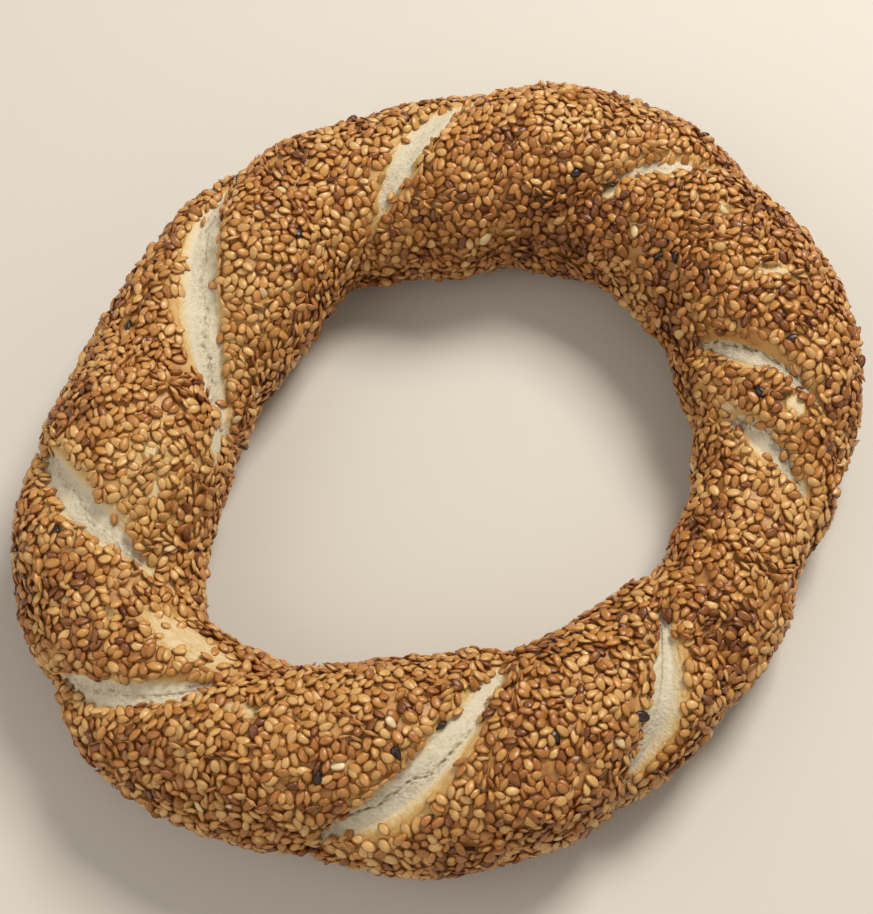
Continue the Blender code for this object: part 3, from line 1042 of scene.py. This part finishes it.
def make_seed_piece(name, seeds, centres, frames, rng):
    """One mesh with all seeds of a tone."""
    shape, shape_faces, rimness = seed_shape()
    count, corners = len(centres), len(shape)
    taper, bend = rng.normal(0.0, 0.13, (count, 1)), rng.normal(0.0, 0.09, (count, 1))
    along = shape[:, 0]
    across = shape[:, 1] * (1 - taper * along) + bend * (along ** 2 - 0.5)
    height = shape[:, 2] * rng.normal(0.97, 0.13, (count, 1))
    length, width, above = frames
    points = (centres[:, None]
              + length[:, None] * (along * seeds.half_length[:, None])[..., None]
              + width[:, None] * (across * seeds.half_width[:, None])[..., None]
              + above[:, None] * (height * SEED_THICKNESS / 2)[..., None])
    points[..., 2] = np.maximum(points[..., 2], FLOOR_GAP)
    faces = [tuple(seed * corners + corner for corner in face)
             for seed in range(count) for face in shape_faces]

    side = math.ceil(math.sqrt(count))
    cell = np.stack(np.divmod(np.arange(count), side)[::-1], axis=1)
    inside_cell = 0.5 + 0.42 * shape[:, :2]
    flat = (cell[:, None] + inside_cell[np.concatenate(shape_faces)]) / side
    return new_mesh(name, points.reshape(-1, 3), faces, flat,
                    rim=np.tile(rimness, count),
                    tone=rng.random(count).repeat(corners),
                    tip=np.tile(smooth_step(along, 0.35, 1.0), count))


def make_seeds(middle):
    """All sesame seeds, one piece for each tone."""
    rng = np.random.default_rng(11)
    seeds = pack_seeds(new_seeds(rng))
    seeds = chosen_seeds(seeds, seeds_to_keep(seeds, rng))
    centres, frames = lay_seeds(seeds, rng)
    centres = centres - middle
    tone = tone_of(seeds, rng)
    pieces = []
    for number, look in enumerate(TONES):
        own = tone == number
        piece = make_seed_piece(look.name, chosen_seeds(seeds, own), centres[own],
                                [directions[own] for directions in frames], rng)
        piece.data.materials.append(seed_material(look))
        pieces.append(piece)
    return pieces


# ---- materials --------------------------------------------------------------------

OPERATIONS = {"+": "ADD", "-": "SUBTRACT", "*": "MULTIPLY", "/": "DIVIDE", "max": "MAXIMUM"}


class Nodes:
    """Builds one material's node tree."""

    def __init__(self, name):
        self.material = bpy.data.materials.new(name)
        self.material.use_nodes = True
        self.tree = self.material.node_tree
        self.shader = self.tree.nodes["Principled BSDF"].inputs
        self.place = self.add("TexCoord").outputs["Object"]

    def join(self, source, target):
        """Connect an output or set a plain value."""
        if isinstance(source, bpy.types.NodeSocket):
            self.tree.links.new(source, target)
        else:
            target.default_value = source

    def add(self, kind, **inputs):
        """A node of this kind with these inputs, named with _ for a space."""
        node = self.tree.nodes.new("ShaderNode" + kind)
        for name, source in inputs.items():
            self.join(source, node.inputs[name.replace("_", " ")])
        return node

    def value(self, name):
        """A number stored on the mesh."""
        node = self.add("Attribute")
        node.attribute_name = name
        return node.outputs["Fac"]

    def grain(self, size, detail=2.0, roughness=0.5):
        """Soft noise with lumps of this size, from 0 to 1."""
        return self.add("TexNoise", Vector=self.place, Scale=1.0 / size, Detail=detail,
                        Roughness=roughness).outputs["Fac"]

    def torn_place(self, length, width):
        """Places along and across the torn seams, in steps of so many millimetres."""
        return self.add("CombineXYZ", X=self.math(self.value("along"), "/", length),
                        Y=self.math(self.value("across"), "/", width)).outputs["Vector"]

    def threads(self, length, width):
        """Soft noise drawn out to this many millimetres along and across the torn seams."""
        place = self.torn_place(length, width)
        return self.add("TexNoise", Vector=place, Scale=1.0, Detail=2.0).outputs["Fac"]

    def spots(self, length, width, kept):
        """Oval bubbles that lie along the torn seams, this many millimetres long and wide:
        1 at their rims and 0 between them.  A larger share of them is kept for a larger
        value of kept."""
        place = self.torn_place(length, width)
        cells = self.add("TexVoronoi", Vector=place, Scale=1.0).outputs
        chosen = self.ranged(cells["Color"], 0.62 - 0.3 * kept, 0.70 - 0.3 * kept)
        whole = self.ranged(cells["Distance"], 0.48, 0.36)
        middle = self.ranged(cells["Distance"], 0.34, 0.18, 0.0, 0.55)
        return self.math(self.math(whole, "-", middle), "*", chosen)

    def math(self, first, sign, second):
        """One step of arithmetic, with one of the signs in OPERATIONS."""
        node = self.add("Math")
        node.operation = OPERATIONS[sign]
        self.join(first, node.inputs[0])
        self.join(second, node.inputs[1])
        return node.outputs[0]

    def ranged(self, source, low, high, new_low=0.0, new_high=1.0):
        """The source's values from low to high spread over new_low to new_high."""
        return self.add("MapRange", Value=source, From_Min=low, From_Max=high,
                        To_Min=new_low, To_Max=new_high).outputs[0]

    def tinted(self, colour, share, tint):
        """The colour with this share of it replaced by a tint."""
        node = self.add("Mix", Factor=share)
        node.data_type = "RGBA"
        first, second = (socket for socket in node.inputs if socket.type == "RGBA")
        self.join(colour, first)
        self.join((*tint, 1.0), second)
        return next(socket for socket in node.outputs if socket.type == "RGBA")

    def ramp(self, share, stops):
        """A colour for each share, from (position, colour) stops."""
        node = self.add("ValToRGB", Fac=share)
        elements = node.color_ramp.elements
        while len(elements) < len(stops):
            elements.new(0.5)
        for element, (position, colour) in zip(elements, stops):
            element.position = position
            element.color = (*colour, 1.0)
        return node.outputs["Color"]

    def finish(self, colour, roughness, relief, depth):
        """Feed colour, roughness and small relief of this depth to the shader."""
        bump = self.add("Bump", Height=relief, Distance=depth, Strength=0.8)
        self.join(colour, self.shader["Base Color"])
        self.join(roughness, self.shader["Roughness"])
        self.join(bump.outputs["Normal"], self.shader["Normal"])
        return self.material


CRUMB_WHITE = (0.645, 0.588, 0.445)
CREAM = (0.690, 0.550, 0.315)
GOLDEN_SKIN = (0.575, 0.350, 0.108)
CRUST_BROWN = (0.540, 0.265, 0.070)
CRUST_DARK = (0.280, 0.105, 0.020)
# Painted shade of the crumb's gaps, bubbles and pores, and the darker painted shade of its
# deepest pores and crease
PORE_SHADE = (0.370, 0.280, 0.160)
PORE_DEEP_SHADE = (0.110, 0.066, 0.030)
# Shares of a seed's darker colour at its rim and at its tip: the rim's is partly its own browner
# edge and partly painted shade where it meets the crust and its neighbours; the tip's is its own
# colour.
RIM_SHADE_AND_TIP_SHARES = (0.76, 0.50, 0.26)      # of a seed's darker colour, at its rim and tip


def crust_colour(nodes, brown, streaks):
    """From white crumb through golden skin to brown crust with pale and dark patches."""
    mottled = nodes.ranged(nodes.grain(1.6 * MM, 4.0, 0.7), 0.30, 0.70, -0.14, 0.14)
    share = nodes.math(nodes.math(brown, "+", mottled), "+", nodes.math(streaks, "*", 0.07))
    colour = nodes.ramp(share, ((0.08, CRUMB_WHITE), (0.42, CREAM),
                                (0.74, GOLDEN_SKIN), (1.0, CRUST_BROWN)))
    crusty = nodes.ranged(brown, 0.8, 1.0)
    pale = nodes.ranged(nodes.grain(6 * MM, 4.0, 0.65), 0.54, 0.70, 0.0, 0.50)
    colour = nodes.tinted(colour, nodes.math(pale, "*", crusty), CREAM)
    patches = nodes.ranged(nodes.grain(4 * MM, 3.0, 0.6), 0.40, 0.65)
    # Where brown runs above 1, at places made browner partly as painted shade, the crust darkens
    # further.
    dark = nodes.math(nodes.math(patches, "*", crusty), "max", nodes.ranged(brown, 1.0, 1.2))
    return nodes.tinted(colour, nodes.math(dark, "*", 0.80), CRUST_DARK)


def pored(nodes, colour, brown, bubbles):
    """The colour with painted shade in the gaps between the crumb's threads, on the rims of its
    bubbles and in its pores, darkest in the deepest pores and the crease.
    """
    threads = nodes.ranged(nodes.threads(0.35, 1.5), 0.48, 0.66)
    crumby = nodes.ranged(brown, 0.45, 0.15)
    depth = nodes.ranged(nodes.value("spongy"), 0.2, 1.0, 0.12, 0.36)
    gaps = nodes.math(threads, "*", nodes.math(crumby, "*", depth))
    pore = nodes.value("pore")
    for shade in (gaps, nodes.math(bubbles, "*", 0.50), nodes.math(pore, "*", 0.55)):
        colour = nodes.tinted(colour, shade, PORE_SHADE)
    # The deepest pores and the crease get the darkest painted shade.
    return nodes.tinted(colour, nodes.ranged(pore, 0.50, 1.0, 0.0, 0.90), PORE_DEEP_SHADE)


def bread_material(name):
    """Bread: crumb, smooth skin and browned crust, by the mesh's values."""
    nodes = Nodes(name)
    brown = nodes.value("brown")
    seedless = nodes.math(nodes.ranged(brown, 1.0, 0.80), "*", nodes.ranged(brown, 0.25, 0.50))
    streaks = nodes.ranged(nodes.threads(3.6, 1.0), 0.35, 0.65, -1.0, 1.0)
    streaks = nodes.math(streaks, "*", seedless)
    bubbles = nodes.math(nodes.spots(2.1, 1.3, 0.5), "max", nodes.spots(0.95, 0.62, 0.7))
    bubbles = nodes.math(bubbles, "*", nodes.value("spongy"))
    colour = pored(nodes, crust_colour(nodes, brown, streaks), brown, bubbles)
    roughness = nodes.ranged(brown, 0.1, 1.0, 0.85, 0.42)
    wrinkled = nodes.ranged(brown, 1.0, 0.70, 1.0, 5.0)
    wrinkles = nodes.math(nodes.grain(1.5 * MM, 4.0, 0.7), "*", wrinkled)
    relief = nodes.math(nodes.grain(0.5 * MM, 4.0, 0.6), "+", wrinkles)
    relief = nodes.math(relief, "-", nodes.math(bubbles, "*", 1.2))
    relief = nodes.math(relief, "-", streaks)
    return nodes.finish(colour, roughness, relief, 0.12 * MM)


def seed_material(look):
    """Toasted sesame: glossy, darker at the tip, and darker at the rim, partly by its own
    browner edge and partly by painted shade where it meets the crust and other seeds.
    """
    nodes = Nodes(look.name)
    mottled = nodes.ranged(nodes.grain(0.8 * MM, 4.0, 0.7), 0.3, 0.7, -0.45, 0.45)
    share = nodes.math(nodes.value("tone"), "+", mottled)
    colour = nodes.ramp(share, ((0.0, look.dark), (1.0, look.light)))
    rim_shade_and_tip = [share * part for share, part in zip(RIM_SHADE_AND_TIP_SHARES, look.dark)]
    # Painted shade along with the seed's own browner edge: the rim is darkened where it meets
    # the crust and other seeds.
    rim = nodes.math(nodes.ranged(nodes.value("rim"), 0.52, 1.0), "*", 0.80)
    tip = nodes.math(nodes.value("tip"), "*", 0.40)
    colour = nodes.tinted(nodes.tinted(colour, rim, rim_shade_and_tip), tip, rim_shade_and_tip)
    roughness = nodes.ranged(nodes.grain(0.7 * MM), 0.3, 0.7, 0.20, 0.40)
    return nodes.finish(colour, roughness, nodes.grain(0.45 * MM, 4.0, 0.6), 0.11 * MM)


# ---- floor, light and camera ------------------------------------------------------

FLOOR_SIZE = 6.0
FLOOR_COLOUR = (0.60, 0.57, 0.52)
WARM_WHITE = (1.0, 0.96, 0.90)
Lamp = namedtuple("Lamp", "name place size watts colour")
LAMPS = (
    Lamp("key", (0.32, 0.46, 0.74), 0.34, 8.5, (1.0, 0.95, 0.87)),
    Lamp("fill", (-0.7, -0.35, 0.6), 0.8, 3.3, WARM_WHITE),
    Lamp("low", (0.5, -0.7, 0.45), 0.8, 1.3, WARM_WHITE),
)
SKY_COLOUR = (1.0, 0.93, 0.84)
SKY_STRENGTH = 0.31

CAMERA_TARGET = (-0.0023, -0.0019, 0.020)
CAMERA_ELEVATION = 65
CAMERA_DISTANCE = 0.41
CAMERA_LENS = 77.15            # for a sensor 36 wide


def make_floor():
    """A plain pale floor."""
    far = FLOOR_SIZE / 2
    corners = [(-far, -far, 0.0), (far, -far, 0.0), (far, far, 0.0), (-far, far, 0.0)]
    floor = new_mesh("floor", corners, [(0, 1, 2, 3)])
    nodes = Nodes("floor")
    nodes.join((*FLOOR_COLOUR, 1.0), nodes.shader["Base Color"])
    nodes.join(0.7, nodes.shader["Roughness"])
    floor.data.materials.append(nodes.material)


def make_lights():
    """Soft studio light: a large key behind and above, and weaker fills.

    Each is a square that faces the middle of the ring.
    """
    for lamp in LAMPS:
        light = bpy.data.lights.new(lamp.name, "AREA")
        light.size = lamp.size
        light.energy = lamp.watts
        light.color = lamp.colour
        thing = bpy.data.objects.new(lamp.name, light)
        thing.location = lamp.place
        thing.rotation_euler = (-Vector(lamp.place)).to_track_quat("-Z", "Y").to_euler()
        bpy.context.scene.collection.objects.link(thing)
    world = bpy.data.worlds.new("studio")
    world.use_nodes = True
    background = world.node_tree.nodes["Background"]
    background.inputs["Color"].default_value = (*SKY_COLOUR, 1.0)
    background.inputs["Strength"].default_value = SKY_STRENGTH
    bpy.context.scene.world = world


def make_camera():
    """Looks along +Y and down at the ring."""
    camera = bpy.data.cameras.new("camera")
    camera.sensor_fit = "HORIZONTAL"
    camera.sensor_width = 36.0
    camera.lens = CAMERA_LENS
    camera.clip_start = 0.01
    thing = bpy.data.objects.new("camera", camera)
    rise = math.radians(CAMERA_ELEVATION)
    back = Vector((0.0, -math.cos(rise), math.sin(rise))) * CAMERA_DISTANCE
    thing.location = Vector(CAMERA_TARGET) + back
    thing.rotation_euler = (math.radians(90 - CAMERA_ELEVATION), 0.0, 0.0)
    bpy.context.scene.collection.objects.link(thing)
    bpy.context.scene.camera = thing


def dress(piece):
    """A piece rides on the ring and stands for its solid, which is hidden."""
    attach(piece, "root")
    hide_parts("simit")


def main():
    """Make everything."""
    middle = ring_middle()
    for slot, make in (("crust", make_crust), ("crumb", make_crumb)):
        piece = make(middle)
        piece.data.materials.append(bread_material(slot))
        dress(piece)
    for piece in make_seeds(middle):
        dress(piece)
    make_floor()
    make_lights()
    make_camera()
    bpy.context.scene.view_settings.view_transform = "Standard"


main()
